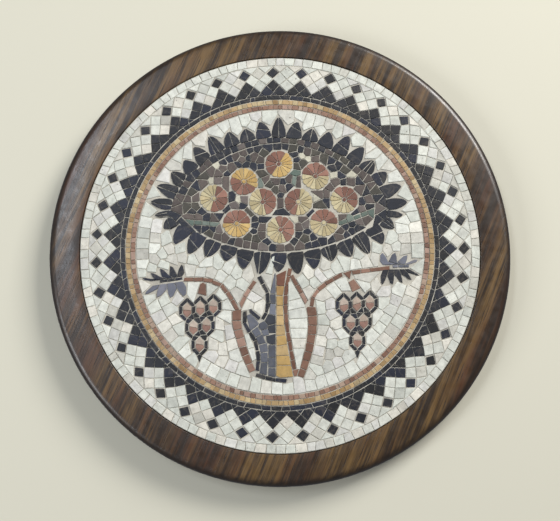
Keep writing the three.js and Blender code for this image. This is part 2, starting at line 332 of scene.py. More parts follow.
draw = np.random.default_rng(7)
stone_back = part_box("ground_white")[1][1]
most_corners = 16
same_corner = 0.0003
smallest_face = 3e-6
hand_wander = 0.00009
tone_spread = 0.07
face_lean = 0.01


def turn(vectors):
    """Vectors turned a quarter to the left."""
    return np.stack([-vectors[..., 1], vectors[..., 0]], -1)


def unit(vectors):
    """Vectors scaled to length one."""
    return vectors / np.maximum(np.linalg.norm(vectors, axis=-1, keepdims=True), 1e-12)


def inset(outlines, distance):
    """Anticlockwise outlines (n, corners, 2) moved in by a distance: each corner goes along the mitre of
    its sides."""
    ahead = unit(np.roll(outlines, -1, 1) - outlines)
    normal = turn(ahead)
    before = np.roll(normal, 1, 1)
    mitre = unit(normal + before)
    spread = np.maximum((mitre * normal).sum(-1, keepdims=True), 0.5)
    return outlines + mitre * np.reshape(distance, (-1, 1, 1)) / spread


def cut(outlines, normal, limit):
    """The part of each convex outline (n, corners, 2) where corner . normal is under limit. A corner
    beyond the line goes, each side that crosses the line gives a new corner, and spare places repeat
    the last corner."""
    beyond = (outlines * normal[:, None]).sum(-1) - limit[:, None]
    following = np.roll(outlines, -1, 1)
    inside = (beyond <= 0) & (np.abs(outlines - np.roll(outlines, 1, 1)).sum(-1) > 1e-8)
    crossing = (beyond <= 0) != (np.roll(beyond, -1, 1) <= 0)
    fall = beyond - np.roll(beyond, -1, 1)
    share = np.where(crossing, beyond / np.where(crossing, fall, 1.0), 0.0)[..., None]
    corners = np.stack([outlines, outlines + (following - outlines) * share], 2).reshape(len(outlines), -1, 2)
    kept = np.stack([inside, crossing], 2).reshape(len(outlines), -1)
    order = np.argsort(~kept, axis=1, kind="stable")[:, : outlines.shape[1]]
    corners = np.take_along_axis(corners, order[..., None], 1)
    kept = np.take_along_axis(kept, order, 1)
    last = np.maximum(kept.sum(1) - 1, 0)
    return np.where(kept[..., None], corners, corners[np.arange(len(corners)), last][:, None])


def room(outlines, corners=most_corners):
    """Outlines with spare places, filled with their last corner, for cut to use."""
    spare = np.repeat(outlines[:, -1:], corners - outlines.shape[1], 1)
    return np.concatenate([outlines, spare], 1)


def lay(name, outlines, colours, joint=0.0, rough=1.0, nodes=(), bevel=0.0004):
    """A mesh of cut stones. Each outline (corners, 2) becomes a closed prism from the mortar bed to its
    flat face, with a chipped edge between: rings of corners moved in and forwards. Its face leans and
    stands back a little. Outlines that touch are first moved in by half a joint."""
    vertices, faces, tints, shifts, first = [], [], [], [], 0
    apart = np.linalg.norm(outlines - np.roll(outlines, 1, 1), axis=-1) > same_corner
    area = 0.5 * np.abs((outlines * turn(np.roll(outlines, -1, 1))).sum((1, 2)))
    counts = np.where(area > smallest_face, apart.sum(1), 0)
    for corners in range(3, most_corners + 1):
        picked = np.flatnonzero(counts == corners)
        order = np.argsort(~apart[picked], axis=1, kind="stable")[:, :corners]
        shape = np.take_along_axis(outlines[picked], order[..., None], 1)
        shape = inset(shape, joint / 2) + rough * draw.normal(0.0, hand_wander, shape.shape)
        chip = bevel * draw.uniform(0.6, 1.3, (len(picked), 1))
        lean = rough * draw.normal(0.0, face_lean, (len(picked), 1, 2))
        sink = rough * draw.uniform(-0.0001, 0.00015, (len(picked), 1))
        rings = []
        for inward, back in ((-0.4, None), (0.0, 1.0), (0.35, 0.3), (1.0, 0.0)):
            ring = inset(shape, inward * chip)
            slope = ((ring - shape.mean(1, keepdims=True)) * lean).sum(-1)
            if back is None:
                depth = np.full_like(slope, stone_back)
            else:
                depth = stone_face + sink + slope + back * chip
            rings.append(np.stack([ring[..., 0], depth, ring[..., 1]], -1))
        solid = np.stack(rings, 1)
        number = np.arange(solid[..., 0].size).reshape(solid.shape[:3]) + first
        after = np.roll(number, -1, 2)
        sides = np.stack([number[:, :-1], after[:, :-1], after[:, 1:], number[:, 1:]], -1).reshape(-1, 4)
        faces += sides.tolist() + number[:, -1].tolist() + number[:, 0, ::-1].tolist()
        vertices.append(solid.reshape(-1, 3))
        each = len(rings) * corners
        tints.append(np.repeat(colours[picked], each, 0))
        shifts.append(np.repeat(draw.uniform(-1.0, 1.0, (len(picked), 3)), each, 0))
        first += solid[..., 0].size
    mesh = bpy.data.meshes.new(name)
    mesh.from_pydata(np.concatenate(vertices).tolist(), [], faces)
    tint = mesh.attributes.new("stone_colour", "FLOAT_COLOR", "POINT")
    tint.data.foreach_set("color", np.concatenate(tints).astype(np.float32).ravel())
    shift = mesh.attributes.new("stone_shift", "FLOAT_VECTOR", "POINT")
    shift.data.foreach_set("vector", np.concatenate(shifts).astype(np.float32).ravel())
    mesh.materials.append(honed_stone_material)
    piece = bpy.data.objects.new(name, mesh)
    bpy.context.scene.collection.objects.link(piece)
    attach(piece, "root")
    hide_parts(*nodes)


def pick(palette, shares, count):
    """A colour for each stone: one of a palette's by its share, made a little lighter or darker."""
    chosen = np.array([paint(code) for code in palette])[draw.choice(len(palette), count, p=shares)]
    tone = 1.0 + tone_spread * draw.normal(0.0, 1.0, (count, 1))
    chosen[:, :3] = np.clip(chosen[:, :3] * tone, 0.0, 1.0)
    return chosen


def stone_grain():
    """The inside of a natural stone: cloudy mottling, fine grains, a few thin veins and small dark pits."""
    inputs = {"Color": ("Color", (0.8, 0.8, 0.8, 1.0)), "Shift": ("Vector", (0.0, 0.0, 0.0))}
    outputs = {"Color": "Color", "Roughness": "Float", "Height": "Float"}
    tree, given, result = start_group("stone grain", inputs, outputs)
    object_place = put(tree, "TexCoord").outputs["Object"]
    place = put(tree, "VectorMath", {0: object_place, 1: given["Shift"]}).outputs[0]

    def noise(scale, **shape):
        settings = {"Vector": place, "Scale": scale}
        settings.update({name.capitalize(): value for name, value in shape.items()})
        return put(tree, "TexNoise", settings).outputs["Fac"]

    cloud = noise(210.0, detail=4.0, roughness=0.6)
    grains = noise(1500.0, detail=3.0, roughness=0.6)
    vein = ramp(tree, noise(75.0, detail=3.0, distortion=1.2), [(0.47, 0.0), (0.5, 1.0), (0.53, 0.0)])
    pits = ramp(tree, noise(620.0), [(0.24, 0.0), (0.3, 1.0)])
    clouded = blend(tree, 1.0, given["Color"], ramp(tree, cloud, [(0.25, 0.8), (0.75, 1.08)]), "MULTIPLY")
    grained = blend(tree, 1.0, clouded, ramp(tree, grains, [(0.25, 0.88), (0.75, 1.06)]), "MULTIPLY")
    faint_vein = put(tree, "Math", {0: vein, 1: 0.12}, operation="MULTIPLY").outputs[0]
    veined = blend(tree, faint_vein, grained, paint("8a7f70"))
    pitted = blend(tree, pits, paint("4a4238"), veined)
    tree.links.new(pitted, result["Color"])
    rough = put(tree, "MapRange", {0: grains, 1: 0.3, 2: 0.7, 3: 0.42, 4: 0.66}).outputs[0]
    tree.links.new(rough, result["Roughness"])
    height = put(tree, "Math", {0: grains, 1: pits}, operation="MULTIPLY").outputs[0]
    tree.links.new(height, result["Height"])
    return tree


def honed_stone():
    """Cut stone rubbed flat: each stone brings its own colour, and a shift that gives it its own grain."""
    material, tree, shader = surface("honed stone")
    own = put(tree, "Attribute", attribute_name="stone_colour").outputs["Color"]
    shift = put(tree, "Attribute", attribute_name="stone_shift").outputs["Vector"]
    grain = place_group(tree, stone_grain(), {"Color": own, "Shift": shift})
    bump = put(tree, "Bump", {"Height": grain["Height"], "Strength": 0.3, "Distance": 0.0002}).outputs[0]
    for key, value in {"Base Color": grain["Color"], "Roughness": grain["Roughness"], "Normal": bump}.items():
        tree.links.new(value, shader.inputs[key])
    return material


def ring_outlines(inner, outer, count, wander=0.12):
    """Stones in a ring between two radii: the joints stand at even angles moved by a share of a stone's
    length, and each corner is a joint's angle at one of the radii."""
    joints = (np.arange(count) + wander * draw.normal(0.0, 1.0, count)) * 2.0 * math.pi / count
    lean = draw.normal(0.0, 0.05, count) * 2.0 * math.pi / count
    start = np.stack([joints + lean, joints - lean], 1)
    end = np.roll(start, -1, 0)
    end[-1] += 2.0 * math.pi
    angles = np.stack([start[:, 0], start[:, 1], end[:, 1], end[:, 0]], 1)[:, ::-1]
    radii = np.array([inner, outer, outer, inner])[::-1]
    return np.stack([radii * np.cos(angles), radii * np.sin(angles)], -1)[:, ::-1]


honed_stone_material = honed_stone()
border_units = 39
block_radius = 0.1528
lattice_step = 0.005925
step_floor = 0.1376
step_ceiling = 0.1650
white_joint = 0.0005
black_joint = 0.0005
white_palette = ["cbccc2", "c6c8be", "cfcbbf", "bebcb1", "c8c7c0"]
white_shares = [0.34, 0.26, 0.16, 0.12, 0.12]
black_palette = ["12151e", "161b2b", "101116", "1c1e25"]
black_shares = [0.4, 0.25, 0.2, 0.15]

# Lattice nodes: four angles to each unit and a row every half diagonal, each node moved a little by hand.
rows = np.arange(-5, 5)
nodes_round = 4 * border_units
radius_wander = draw.normal(0.0, 0.0003, (len(rows), nodes_round))
angle_wander = draw.normal(0.0, 0.045, (len(rows), nodes_round))
node_radius = block_radius + lattice_step * rows[:, None] + radius_wander
node_angle = 2.0 * math.pi / nodes_round * (np.arange(nodes_round) + angle_wander)
lattice = np.stack([node_radius * np.cos(node_angle), node_radius * np.sin(node_angle)], -1)


def turned_squares(row, column):
    """The stones whose middles are at a lattice row and at a quarter of each unit: the four nodes round
    each."""
    middle = row - rows[0]
    at = 4 * np.arange(border_units) + column
    nodes = [(middle - 1, at), (middle, at + 1), (middle + 1, at), (middle, at - 1)]
    corners = np.stack([lattice[r, c % nodes_round] for r, c in nodes], 1)
    clockwise = np.cross(corners[0, 1] - corners[0, 0], corners[0, 2] - corners[0, 1]) < 0
    corners = corners[:, ::-1] if clockwise else corners
    outward = unit(lattice[middle, at % nodes_round])
    trimmed = cut(room(corners), outward, np.full(border_units, step_ceiling))
    return cut(trimmed, -outward, np.full(border_units, -step_floor))


white_places = ((1, 2), (0, 1), (0, 3), (-1, 2), (2, 1), (2, 3))
white_squares = np.concatenate([turned_squares(row, column) for row, column in white_places])
outer_row_stones = 126
outer_row_gap = 0.0001
outer_row_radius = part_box("border_white")[1][0] - outer_row_gap
outer_row = room(ring_outlines(step_ceiling, outer_row_radius, outer_row_stones))
white_border = np.concatenate([white_squares, outer_row])
white_colours = pick(white_palette, white_shares, len(white_border))
lay("border_white_stones", white_border, white_colours, white_joint, nodes=["border_white"])

lone_squares = turned_squares(1, 0)
lone_middles = lone_squares[:, :4].mean(1, keepdims=True)
lone_share = 0.86
lone_squares = lone_middles + lone_share * (lone_squares - lone_middles)
step_places = ((-1, 0), (-2, 1), (-2, 3), (-3, 0), (-3, 2))
steps = np.concatenate([turned_squares(row, column) for row, column in step_places])
ring_line_inner = 0.1336
ring_line_stones = 92
ring_line = room(ring_outlines(ring_line_inner, step_floor, ring_line_stones, 0.16))
black_border = np.concatenate([lone_squares, steps, ring_line])
lay(
    "border_black_stones",
    black_border,
    pick(black_palette, black_shares, len(black_border)),
    black_joint,
    nodes=["border_black"],
)

# --------------------------------------------------------------------------------------------------
# Double ring round the picture: narrow ochre stones outside and brown-red ones inside, split from slabs
# and set side by side with hardly any mortar between.
ring_wander = 0.14
ring_joint = 0.00035
ring_bevel = 0.0003
rings = {
    "ochre": (0.1290, 0.1332, 182, ["ab9066", "9f8359", "b9a67f", "93764c", "b29d77"]),
    "terracotta": (0.1247, 0.1287, 178, ["8d6c5a", "82614f", "9b7f70", "775646", "a18a78"]),
}
ring_shares = {"ochre": [0.34, 0.22, 0.16, 0.12, 0.16], "terracotta": [0.34, 0.24, 0.16, 0.1, 0.16]}
for kind, (inner, outer, count, palette) in rings.items():
    stones = room(ring_outlines(inner, outer, count, ring_wander))
    lay(
        f"ring_{kind}_stones",
        stones,
        pick(palette, ring_shares[kind], count),
        ring_joint,
        nodes=[f"ring_{kind}"],
        bevel=ring_bevel,
    )

# --------------------------------------------------------------------------------------------------
# Ground of the picture: white stones a little larger than the border's, laid in rows that follow the
# ring and the outline of each figure, and cut to fit where the rows meet.


def outline(name):
    """The edge of a node's front face, as segments (n, 2, 2) of x and z with the face on their left: those
    sides of its front triangles that no other front triangle shares."""
    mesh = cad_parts[name].data
    place = np.empty(3 * len(mesh.vertices))
    mesh.vertices.foreach_get("co", place)
    place = place.reshape(-1, 3)
    triangles = np.empty(len(mesh.loops), int)
    mesh.loops.foreach_get("vertex_index", triangles)
    triangles = triangles.reshape(-1, 3)
    front = (place[triangles, 1] < place[:, 1].min() + 1e-5).all(1)
    corners, number = np.unique(np.round(place[:, [0, 2]], 6), axis=0, return_inverse=True)
    triangles = number.ravel()[triangles[front]]
    sides = np.concatenate([triangles[:, [0, 1]], triangles[:, [1, 2]], triangles[:, [2, 0]]])
    forward = sides[:, 0] * len(corners) + sides[:, 1]
    backward = sides[:, 1] * len(corners) + sides[:, 0]
    return corners[sides[~np.isin(forward, backward)]]


def nearest(points, sides):
    """For each point and side (n, sides): the closest place on the side, and how far it is."""
    start, along = sides[:, 0], sides[:, 1] - sides[:, 0]
    share = ((points[:, None] - start) * along).sum(-1) / np.maximum((along**2).sum(-1), 1e-18)
    place = start + np.clip(share, 0.0, 1.0)[..., None] * along
    return place, np.linalg.norm(points[:, None] - place, axis=-1)


def within(points, sides):
    """Which points are inside: a line from such a point to the right crosses the sides an odd number of
    times."""
    low, high = sides[:, 0], sides[:, 1]
    spans = (low[:, 1] > points[:, None, 1]) != (high[:, 1] > points[:, None, 1])
    rise = np.where(high[:, 1] == low[:, 1], 1.0, high[:, 1] - low[:, 1])
    crossing = low[:, 0] + (points[:, None, 1] - low[:, 1]) / rise * (high[:, 0] - low[:, 0])
    return (spans & (crossing > points[:, None, 0])).sum(1) % 2 == 1


def field_of(sides, step):
    """A grid of points over an area, with how deep each is inside the edge (below zero outside)."""
    low, high = sides.min((0, 1)), sides.max((0, 1))
    across, up = np.meshgrid(np.arange(low[0], high[0], step), np.arange(low[1], high[1], step))
    points = np.stack([across.ravel(), up.ravel()], -1)
    parts = np.array_split(points, len(points) * len(sides) // 2_000_000 + 1)
    depth = [np.where(within(part, sides), nearest(part, sides)[1].min(1), -1.0) for part in parts]
    return points.reshape(*across.shape, 2), np.concatenate(depth).reshape(across.shape)


def spread_out(points, spacing, wanted, cost, last, given, room_left):
    """Stones' middles one after another: each next one is the cheapest wanted point, by its distance from
    the last one plus its cost, that is a spacing away from all others. Then each hole left gets one at
    its deepest point."""
    chosen = list(given)
    gap = np.full(len(points), np.inf)
    for seed in chosen:
        gap = np.minimum(gap, np.linalg.norm(points - seed, axis=1))
    while (wanted & (gap >= spacing)).any():
        score = np.linalg.norm(points - last, axis=1) + cost
        last = points[np.argmin(np.where(wanted & (gap >= spacing), score, np.inf))]
        chosen.append(last)
        gap = np.minimum(gap, np.linalg.norm(points - last, axis=1))
    while (np.minimum(gap, room_left) > 0.8 * spacing).any():
        chosen.append(points[np.argmax(np.minimum(gap, room_left))])
        gap = np.minimum(gap, np.linalg.norm(points - chosen[-1], axis=1))
    return np.array(chosen)


def on_spine(depth):
    """Where a grid of depths is nearly as deep as anywhere within four steps: the middle of a narrow area."""
    deepest = depth
    for axis in (0, 1):
        deepest = np.max([np.roll(deepest, shift, axis) for shift in range(-4, 5)], axis=0)
    return depth > 0.86 * deepest


def seeds_in_rows(sides, spacing, row_height, step=0.0008, given=(), margin=0.0012):
    """Stones' middles in rows, at even depths from the edge, and along the spine of each part too narrow
    for rows."""
    points, depth = field_of(sides, step)
    spine = on_spine(depth)[depth > margin]
    points, depth = points[depth > margin], depth[depth > margin]
    row = np.floor(depth / row_height)
    miss = np.abs(depth - (row + 0.5) * row_height)
    narrow = spine & (depth < 0.46 * row_height)
    cost = 3.0 * row_height * (row + narrow) + miss
    wanted = (miss < 0.8 * step) | narrow
    return spread_out(points, spacing, wanted, cost, points[0], given, 2.2 * depth)


def seeds_on_spine(sides, spacing, step=0.0006, margin=0.0008):
    """Stones' middles along the middle of a narrow area."""
    points, depth = field_of(sides, step)
    points = points[on_spine(depth) & (depth > margin)]
    start = points[np.argmin(points[:, 1])]
    return spread_out(points, spacing, np.ones(len(points), bool), 0.0, start, (), np.inf)


def fitted(seeds, sides, joint, rows=None, row_height=0.009, size=None, reach=0.013):
    """An outline for each seed: a square cut between it and its neighbours, less half a joint, in shares
    of their sizes, and then cut at the closest places on the area's edge. With rows, the direction
    across each stone's row, two stones of one row part along it and two of neighbouring rows part
    across it, as bricks do in a wall."""
    square = reach * np.array([(-1.0, -1.0), (1.0, -1.0), (1.0, 1.0), (-1.0, 1.0)])
    shapes = room(np.repeat(square[None], len(seeds), 0))
    spread = np.linalg.norm(seeds[:, None] - seeds, axis=-1)
    size = np.ones(len(seeds)) if size is None else size
    for near in np.argsort(spread, axis=1)[:, 1:20].T:
        away = seeds[near] - seeds
        normal = unit(away)
        if rows is not None:
            likeness = (rows * rows[near]).sum(1)
            across = unit(rows + rows[near] * np.sign(likeness)[:, None])
            rise, run = (away * across).sum(1), (away * turn(across)).sum(1)
            aligned = np.abs(likeness) > 0.9
            level = aligned & (np.abs(rise) < 0.55 * row_height)
            stepped = aligned & ~level & (np.abs(run) < row_height)
            normal = np.where(level[:, None], turn(across) * np.sign(run)[:, None], normal)
            normal = np.where(stepped[:, None], across * np.sign(rise)[:, None], normal)
        share = size / (size + size[near])
        shapes = cut(shapes, normal, (away * normal).sum(1) * share - joint / 2)
    place, far = nearest(seeds, sides)
    for _ in range(6):
        at = np.argmin(far, axis=1)
        limit = far[np.arange(len(seeds)), at]
        normal = unit(place[np.arange(len(seeds)), at] - seeds)
        open_side = np.isfinite(limit)
        trimmed = cut(shapes, normal, np.where(open_side, limit, 1.0))
        shapes = np.where(open_side[:, None, None], trimmed, shapes)
        done = ((place - seeds[:, None]) * normal[:, None]).sum(-1) > limit[:, None] - 0.0005
        far = np.where(done, np.inf, far)
    return shapes + seeds[:, None]


stone_joint = 0.0005


def fill(name, nodes, palette, shares, spacing, row_height=None):
    """Fills the areas of some nodes with stones of a palette, in rows or along their spines, and lays
    them."""
    shapes = []
    for node in nodes:
        sides = outline(node)
        if row_height is None:
            seeds = seeds_on_spine(sides, spacing)
            shapes.append(fitted(seeds, sides, stone_joint))
        else:
            seeds = seeds_in_rows(sides, spacing, row_height)
            place, far = nearest(seeds, sides)
            rows = unit(seeds - place[np.arange(len(seeds)), far.argmin(1)])
            shapes.append(fitted(seeds, sides, stone_joint, rows, row_height))
    shapes = np.concatenate(shapes)
    lay(name, shapes, pick(palette, shares, len(shapes)), nodes=nodes)


ground_row = 0.0092
ground_palette = ["cfd0c7", "c9cbc1", "d2cfc4", "c2c0b6", "cccac4"]
ground_sides = outline("ground_white")
ground_radius = 0.1240
ring_edge = 0.1225
clear_of_figures = 0.0031
on_ring = np.linalg.norm(ground_sides, axis=-1).min(1) > ring_edge
figure_sides = ground_sides[~on_ring]
ring_seeds = []
for depth, length in ((0.0058, 0.0094), (0.0160, 0.0092)):
    radius = ground_radius - depth
    count = round(2.0 * math.pi * radius / length)
    angles = (np.arange(count) + draw.normal(0.0, 0.05, count)) * 2.0 * math.pi / count
    seeds = radius * np.stack([np.cos(angles), np.sin(angles)], -1)
    clear = within(seeds, ground_sides) & (nearest(seeds, figure_sides)[1].min(1) > clear_of_figures)
    ring_seeds.append(seeds[clear])
ring_seeds = np.concatenate(ring_seeds)
ground_length = 0.0088
ground_seeds = seeds_in_rows(ground_sides, ground_length, ground_row, given=ring_seeds)
place, far = nearest(ground_seeds, figure_sides)
ground_rows = unit(ground_seeds - place[np.arange(len(ground_seeds)), far.argmin(1)])
ground_rows[: len(ring_seeds)] = unit(ring_seeds)
ground_shapes = [fitted(ground_seeds, ground_sides, stone_joint, ground_rows, ground_row)]
shut_off = [f"ground_white_{number}" for number in (2, 3, 4)]
narrow_length = 0.0084
for node in shut_off:
    sides = outline(node)
    seeds = seeds_on_spine(sides, narrow_length)
    ground_shapes.append(fitted(seeds, sides, stone_joint))
ground_shapes = np.concatenate(ground_shapes)
lay(
    "ground_stones",
    ground_shapes,
    pick(ground_palette, [0.34, 0.26, 0.16, 0.12, 0.12], len(ground_shapes)),
    nodes=["ground_white", *shut_off],
)

# --------------------------------------------------------------------------------------------------
# Trunk: blue-grey stones in rows down the left, ochre ones mixed at random with some brown-red ones down
# the right. An outline of black slips stands on the left and one of brown slips on the right, each one stone
# wide.
slate_palette = ["50535c", "464952", "5c5f69", "30333b", "6b6e78"]
slate_shares = [0.36, 0.26, 0.18, 0.14, 0.06]
slate_size = 0.0072
fill("trunk_grey_stones", ["trunk_grey"], slate_palette, slate_shares, slate_size, slate_size)
trunk_ochres, trunk_browns = ["ae8f57", "9d7c4c", "6d4533", "b79c6d"], ["744f3d", "664333", "84604f"]
trunk_pieces = (
    ("trunk_ochre_stones", "trunk_ochre", trunk_ochres, [0.4, 0.22, 0.22, 0.16], 0.0082, "ochre_stone"),
    ("trunk_brown_slips", "trunk_outline_brown", trunk_browns, [0.4, 0.35, 0.25], 0.0078, "brown_stone"),
    ("trunk_black_slips", "trunk_outline_black", black_palette, black_shares, 0.0082, "black_stone"),
    ("bough_slips", "bough", black_palette, black_shares, 0.0082, "black_stone"),
)
for name, node, palette, shares, length, slot in trunk_pieces:
    fill(name, [node], palette, shares, length)

# --------------------------------------------------------------------------------------------------
# Crown: pointed leaves of one to three black slips each, nipped to shape, on a band of small dark
# stones that fills the way in to the core.


def loops(sides):
    """An area's edge as closed loops of corners, the longest first: each side leads to the one that starts
    where it ends."""
    starts = {tuple(corner): i for i, corner in enumerate(np.round(sides[:, 0], 6))}
    left, found = set(range(len(sides))), []
    while left:
        at, path = min(left), []
        while at in left:
            left.remove(at)
            path.append(sides[at, 0])
            at = starts[tuple(np.round(sides[at, 1], 6))]
        found.append(np.array(path))
    return sorted(found, key=lambda path: -np.ptp(path[:, 0]))


def closed(path):
    """The sides of a closed loop of corners."""
    return np.stack([path, np.roll(path, -1, 0)], 1)


def rounded(outlines):
    """Outlines (n, corners, 2) with each corner cut off at a quarter of the way along both of its sides."""
    following = np.roll(outlines, -1, 1)
    return np.stack([0.75 * outlines + 0.25 * following, 0.25 * outlines + 0.75 * following], 2).reshape(
        len(outlines), -1, 2
    )


leaf_joint = 0.0006
leaf_corners = 8
narrow_band = 0.0092
foot_gap = 0.0005
shortest_foot, longest_foot = 0.0035, 0.0065
crown_edge, core_edge = loops(outline("crown_leaves"))[:2]
place, far = nearest(crown_edge, closed(core_edge))
rise = far.min(1)
valleys = np.flatnonzero((rise < np.roll(rise, 1)) & (rise <= np.roll(rise, -1)))
inward = unit(place[np.arange(len(crown_edge)), far.argmin(1)] - crown_edge)
free_length = draw.uniform(shortest_foot, longest_foot, len(rise))
foot_length = np.where(rise < narrow_band, rise - foot_gap, free_length)
foot = crown_edge + inward * foot_length[:, None]
leaves = []
for start, end in zip(valleys, np.roll(valleys, -1)):
    around = np.arange(start, end + 1 if end > start else end + 1 + len(crown_edge)) % len(crown_edge)
    leaf = np.concatenate([foot[[start]], crown_edge[around], foot[[end]]])[:leaf_corners]
    leaves.append(room(leaf[None], leaf_corners)[0])
leaves = np.array(leaves)
feet = leaves[:, [0, -1]]
far = np.linalg.norm(leaves - feet.mean(1, keepdims=True), axis=-1)
tips = leaves[np.arange(len(leaves)), far.argmax(1)]
bases = feet.mean(1)
long_way = unit(tips - bases)
broad_way = turn(long_way)
length = np.linalg.norm(tips - bases, axis=1)
whole_leaves = rounded(leaves)


def leaf_slips(shapes, first, last):
    """The part of each leaf between two lines from its foot to its tip, at these distances to the side.
    They draw together towards the tip."""
    for offset, sign in ((first, -1.0), (last, 1.0)):
        bottom = bases + broad_way * offset[:, None]
        top = tips + broad_way * 0.45 * offset[:, None]
        normal = -turn(unit(top - bottom)) * -sign
        shapes = cut(shapes, normal, (normal * bottom).sum(1))
    return shapes


def leaf_half(shapes, share, sign):
    """The part of each leaf beyond (sign -1) or before (sign 1) a cut across it, at a share of its length."""
    middle = bases + long_way * (length * share)[:, None]
    normal = unit(long_way + 0.35 * broad_way * np.sin(9.0 * share)[:, None]) * sign
    return cut(shapes, normal, (normal * middle).sum(1))


kind = draw.integers(0, 4, len(leaves))
roomy = room(whole_leaves, 2 * leaf_corners + 4)
side = draw.normal(0.0, 0.0008, len(leaves))
middle_share = draw.uniform(0.38, 0.58, len(leaves))
wide = np.full(len(leaves), 0.02)
half_slip = 0.0018
slips = np.concatenate([
    roomy[kind == 0],
    leaf_half(roomy, middle_share, 1.0)[kind == 1],
    leaf_half(roomy, middle_share, -1.0)[kind == 1],
    leaf_slips(roomy, -wide, side)[kind == 2],
    leaf_slips(roomy, side, wide)[kind == 2],
    leaf_slips(roomy, -wide, side - half_slip)[kind == 3],
    leaf_slips(roomy, side - half_slip, side + half_slip)[kind == 3],
    leaf_slips(roomy, side + half_slip, wide)[kind == 3],
])
band_sides = np.concatenate([closed(core_edge), feet])
fine_step = 0.0006
band_length, band_row, band_margin = 0.0062, 0.0058, 0.001
band_seeds = seeds_in_rows(band_sides, band_length, band_row, step=fine_step, margin=band_margin)
band = fitted(band_seeds, band_sides, leaf_joint, size=draw.uniform(0.8, 1.3, len(band_seeds)))
leaf_palette = ["131824", "171c2d", "10131b", "1d2029"]
leaf_colours = pick(leaf_palette, [0.4, 0.25, 0.2, 0.15], len(slips))
lay("crown_leaf_stones", slips, leaf_colours, leaf_joint, nodes=["crown_leaves"])
band_palette = ["131824", "171c2b", "4a413d", "3e3b33", "5b534f"]
band_colours = pick(band_palette, [0.36, 0.24, 0.2, 0.12, 0.08], len(band))
lay("crown_band_stones", band, band_colours, nodes=["crown_leaves"])

# --------------------------------------------------------------------------------------------------
# Core of the crown: small brown-grey and olive stones with black chips between the flowers, a few cream
# chips, and short twigs of green stones laid end to end.
core_sides = outline("crown_core")
core_joint = 0.0006
twig_reach = 0.0041
twig_length = 0.0064
twigs = np.array([
    [(-0.088, 0.024), (-0.054, 0.021)],
    [(0.052, 0.022), (0.088, 0.036)],
    [(-0.021, 0.068), (-0.013, 0.049)],
    [(0.014, 0.071), (0.011, 0.050)],
])
twig_seeds = []
beside_twigs = []
for start, end in twigs:
    count = round(np.linalg.norm(end - start) / twig_length)
    middles = start + (end - start) * (np.arange(count)[:, None] + 0.5) / count
    aside = turn(unit(end - start)) * twig_reach
    twig_seeds.append(middles)
    beside_twigs += [middles + aside, middles - aside]
twig_seeds, beside_twigs = np.concatenate(twig_seeds), np.concatenate(beside_twigs)
laid_first = np.concatenate([twig_seeds, beside_twigs])
from_edge = nearest(laid_first, core_sides)[1].min(1)
deep_enough = within(laid_first, core_sides) & (from_edge > band_margin)
on_twig = np.arange(len(laid_first)) < len(twig_seeds)
laid_first, on_twig = laid_first[deep_enough], on_twig[deep_enough]
core_length, core_row, core_margin = 0.0064, 0.0060, 0.0009
core_seeds = seeds_in_rows(core_sides, core_length, core_row, fine_step, laid_first, core_margin)
core_kinds = draw.choice(3, len(core_seeds), p=[0.52, 0.41, 0.07])
core_size = np.array([1.25, 0.85, 0.75])[core_kinds]
core_size[: len(laid_first)] = 1.0
core_shapes = fitted(core_seeds, core_sides, core_joint, size=core_size)
core_colours = pick(["4a413d", "574d48", "3e3b33", "645b57"], [0.35, 0.25, 0.25, 0.15], len(core_seeds))
core_colours[core_kinds == 1] = pick(["131824", "171c2b"], [0.5, 0.5], (core_kinds == 1).sum())
core_colours[core_kinds == 2] = pick(["c2beab"], [1.0], (core_kinds == 2).sum())
core_colours[: len(laid_first)][on_twig] = pick(["56655c", "6b766d"], [0.6, 0.4], on_twig.sum())
lay("crown_core_stones", core_shapes, core_colours, nodes=["crown_core"])

# --------------------------------------------------------------------------------------------------
# Flowers: thin petals side by side round a small middle stone. Half of them are brown-red, and half are
# gold or cream and thinner.
gold, cream = ["b9985a", "ad8d52", "c2a468"], ["b5a680", "ac9e78", "bfb38e"]
petal_reds = ["7c5445", "6f4a3d", "8b6354"]
petal_shares = [0.4, 0.3, 0.3]
middle_radius = 0.0022
petal_joint = 0.0004
red_petals, pale_petals = 5, 8
petal_bevel = 0.0003
red_towards = [150, 250, 90, 345, 15, 170, 50, 90, 25, 85]
golden = (1, 2, 8)
for number, red_angle in enumerate(red_towards, 1):
    pale = gold if number in golden else cream
    node = f"flower_{number:02d}"
    low, high = (np.array(corner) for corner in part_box(node))
    centre, radius = ((low + high) / 2)[[0, 2]], (high[0] - low[0]) / 2
    widths = np.repeat([1.0 / red_petals, 1.0 / pale_petals], [red_petals, pale_petals])
    widths = widths * draw.uniform(0.8, 1.2, len(widths))
    edges = np.concatenate([[0.0], np.cumsum(widths)]) / widths.sum() * 2.0 * math.pi
    edges += math.radians(red_angle - 90.0)
    shares = np.array([0.0, 0.12, 0.5, 0.88, 1.0])
    angles = edges[:-1, None] + np.diff(edges)[:, None] * shares
    rounding = np.array([0.93, 0.99, 1.01, 0.99, 0.93])
    reach = radius * draw.uniform(0.98, 1.03, (len(widths), 1)) * rounding
    outside = np.stack([reach * np.cos(angles), reach * np.sin(angles)], -1)
    inside = middle_radius * np.stack([np.cos(angles[:, [4, 0]]), np.sin(angles[:, [4, 0]])], -1)
    petals = room(np.concatenate([outside, inside], 1))
    around = 2.0 * math.pi * np.arange(7) / 7
    middle = room(0.9 * middle_radius * np.stack([np.cos(around), np.sin(around)], -1)[None])
    reds, pales = pick(petal_reds, petal_shares, red_petals), pick(pale, petal_shares, pale_petals)
    heart = pick(petal_reds if number % 2 else pale, petal_shares, 1)
    colours = np.concatenate([reds, pales, heart])
    shapes = np.concatenate([petals, middle]) + centre
    lay(
        node + "_petals",
        shapes,
        colours,
        petal_joint,
        rough=0.6,
        nodes=[node],
        bevel=petal_bevel,
    )

